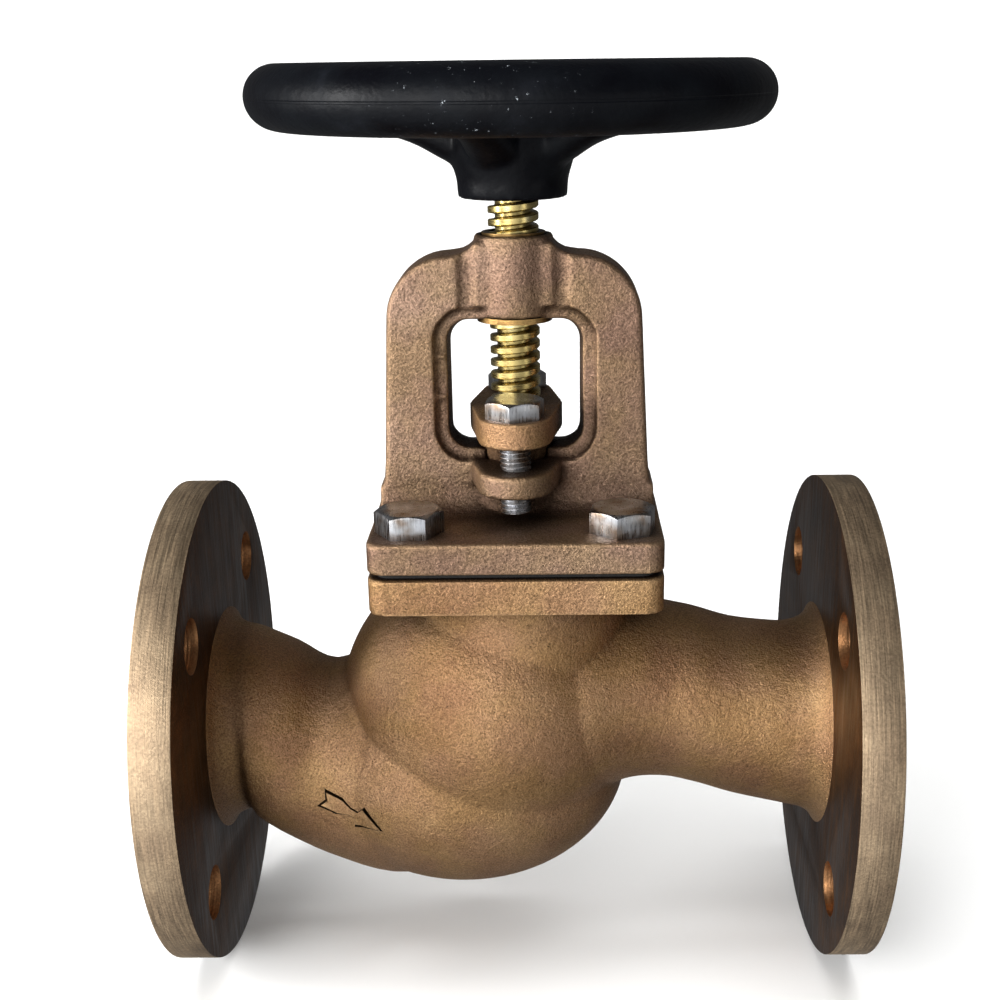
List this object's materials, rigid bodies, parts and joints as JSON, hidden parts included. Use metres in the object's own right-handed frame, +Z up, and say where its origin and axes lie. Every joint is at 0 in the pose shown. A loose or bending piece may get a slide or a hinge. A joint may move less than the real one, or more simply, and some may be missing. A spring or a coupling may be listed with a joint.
{
  "type": "flanged globe valve",
  "caption": "Flanged bronze globe valve with an outside screw and yoke, a square bolted bonnet, a bolted gland and a dished handwheel that raises the stem.",
  "frame": {"origin": "centre of the bounding box's footprint: under the stem axis, level with the lowest point of the two flange rims; the pipe axis is 82.5 mm above it", "axes": "+X along the pipe in the flow direction, from inlet to outlet; +Z up along the stem; +Y away from the side with the flow arrow"},
  "size_m": [0.23, 0.165, 0.2992],
  "materials": {
    "cast_bronze": "sand cast and shot blasted, satin",
    "stem_brass": "turned and thread cut, semi-bright",
    "trim_bronze": "turned",
    "gland_bronze": "cast, greased and dirty on top",
    "bolt_steel": "machined, lightly tarnished",
    "wheel_paint": "black paint over cast iron, satin",
    "gasket_sheet": "compressed fibre sheet, dull",
    "graphite_packing": "braided graphite, dull"
  },
  "bodies": {
    "valve_body": {"body": "cast_bronze", "seat_ring": "trim_bronze", "bonnet_gasket": "gasket_sheet", "bonnet": "cast_bronze", "bonnet_bolt_1": "bolt_steel", "bonnet_bolt_2": "bolt_steel", "bonnet_bolt_3": "bolt_steel", "bonnet_bolt_4": "bolt_steel", "back_seat_bush": "trim_bronze", "yoke_bush": "trim_bronze", "packing_washer": "trim_bronze", "packing_ring_1": "graphite_packing", "packing_ring_2": "graphite_packing", "packing_ring_3": "graphite_packing", "packing_ring_4": "graphite_packing", "gland": "gland_bronze", "gland_bolt_front": "bolt_steel", "gland_bolt_rear": "bolt_steel"},
    "disc_assembly": {"disc": "trim_bronze", "disc_nut": "trim_bronze"},
    "stem_assembly": {"stem": "stem_brass", "handwheel": "wheel_paint", "handwheel_washer": "bolt_steel", "handwheel_nut": "bolt_steel"}
  },
  "joints": [
    {"name": "disc_lift", "type": "slide", "parent": "valve_body", "child": "disc_assembly", "axis": [0, 0, 1], "range_m": [0, 0.013]},
    {"name": "handwheel_turn", "type": "hinge", "parent": "disc_assembly", "child": "stem_assembly", "pos_m": [0, 0, 0.2], "axis": [0, 0, 1], "range_deg": [0, 1170]}
  ],
  "couplings": [
    {"joint": "disc_lift", "follows": "handwheel_turn", "m_per_rad": 0.00063661}
  ]
}
